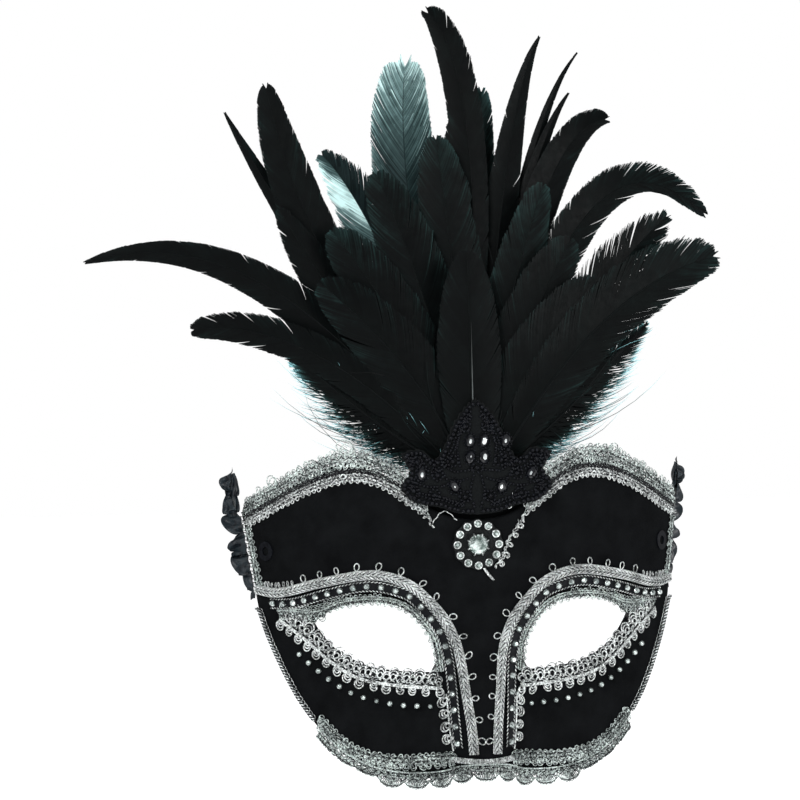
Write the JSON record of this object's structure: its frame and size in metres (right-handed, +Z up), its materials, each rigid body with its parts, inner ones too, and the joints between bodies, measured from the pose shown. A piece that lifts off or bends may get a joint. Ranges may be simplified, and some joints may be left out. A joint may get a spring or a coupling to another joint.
{
  "type": "venetian masquerade mask",
  "caption": "Half mask in black velvet with silver braid and lace, glass stones, a beaded applique and a spray of cock feathers, worn over the eyes and tied at the sides.",
  "frame": {"origin": "inner face of the lining at the bridge of the nose", "axes": "+Z up the face, -Y out of the mask's front, +X to the right as the front is seen"},
  "size_m": [0.2547, 0.0771, 0.3091],
  "materials": {
    "shell_plastic": "moulded, matt",
    "black_velvet": "short pile velvet",
    "satin_lining": "satin weave",
    "silver_thread": "twisted metallic thread",
    "silver_lace": "metallic lace",
    "cut_glass": "faceted, foiled back",
    "pearl_bead": "polished",
    "black_satin": "satin ribbon",
    "black_felt": "felt",
    "jet_glass": "faceted, gloss",
    "jet_bead": "gloss",
    "brooch_metal": "dark plated",
    "binding_thread": "wound thread",
    "eyelet_metal": "black enamel",
    "feather_black": "iridescent black-green barbs",
    "feather_teal": "thin translucent barbs"
  },
  "bodies": {
    "mask": {"mask_shell": "shell_plastic", "velvet_cover": "black_velvet", "face_lining": "satin_lining", "left_brow_cord": "silver_thread", "right_brow_cord": "silver_thread", "left_brow_picots": "silver_thread", "right_brow_picots": "silver_thread", "left_eye_band": "black_satin", "right_eye_band": "black_satin", "left_eye_stones": "cut_glass", "right_eye_stones": "cut_glass", "left_upper_eye_lace": "silver_lace", "right_upper_eye_lace": "silver_lace", "left_lower_eye_gimp": "silver_thread", "right_lower_eye_gimp": "silver_thread", "left_cheek_beads": "pearl_bead", "right_cheek_beads": "pearl_bead", "left_nose_gimp": "silver_thread", "right_nose_gimp": "silver_thread", "left_top_braid": "silver_lace", "right_top_braid": "silver_lace", "left_side_braid": "silver_lace", "right_side_braid": "silver_lace", "left_cheek_edging": "silver_thread", "right_cheek_edging": "silver_thread", "chin_lace": "silver_lace", "applique_base": "black_felt", "applique_cabochons": "jet_glass", "applique_beads": "jet_bead", "brooch_plate": "brooch_metal", "brooch_centre_stone": "cut_glass", "brooch_ring_stones": "cut_glass", "feather_card": "black_felt", "left_tie_eyelet": "eyelet_metal", "right_tie_eyelet": "eyelet_metal"},
    "feather_spray": {"feather_binding": "binding_thread", "feather_far_left_sickle": "feather_black", "feather_left_lobe": "feather_black", "feather_left_spike": "feather_black", "feather_left_quilled": "feather_black", "feather_left_margin": "feather_black", "feather_left_teal": "feather_teal", "feather_tall_teal": "feather_teal", "feather_tallest": "feather_black", "feather_rear_centre": "feather_black", "feather_right_spear": "feather_black", "feather_right_needle": "feather_black", "feather_right_blade": "feather_black", "feather_right_round": "feather_black", "feather_right_arch": "feather_black", "feather_right_fringe": "feather_black", "feather_right_broad": "feather_black", "feather_right_wisp": "feather_black", "feather_left_fluff": "feather_black", "feather_front_centre": "feather_black"},
    "left_ruffle": {"left_ribbon_ruffle": "black_satin"},
    "right_ruffle": {"right_ribbon_ruffle": "black_satin"}
  },
  "joints": [
    {"name": "spray_flex", "type": "hinge", "parent": "mask", "child": "feather_spray", "pos_m": [0, 0.0052, 0.0615], "axis": [-1, 0, 0], "range_deg": [-3, 12], "stiffness_Nm_per_rad": 0.12},
    {"name": "left_ruffle_swing", "type": "hinge", "parent": "mask", "child": "left_ruffle", "pos_m": [-0.08547, 0.04902, 0.033], "axis": [0.1368, -0.2215, -0.9655], "range_deg": [-10, 75], "stiffness_Nm_per_rad": 0.002},
    {"name": "right_ruffle_swing", "type": "hinge", "parent": "mask", "child": "right_ruffle", "pos_m": [0.08547, 0.04902, 0.033], "axis": [0.1368, 0.2215, 0.9655], "range_deg": [-25, 60], "stiffness_Nm_per_rad": 0.002}
  ]
}
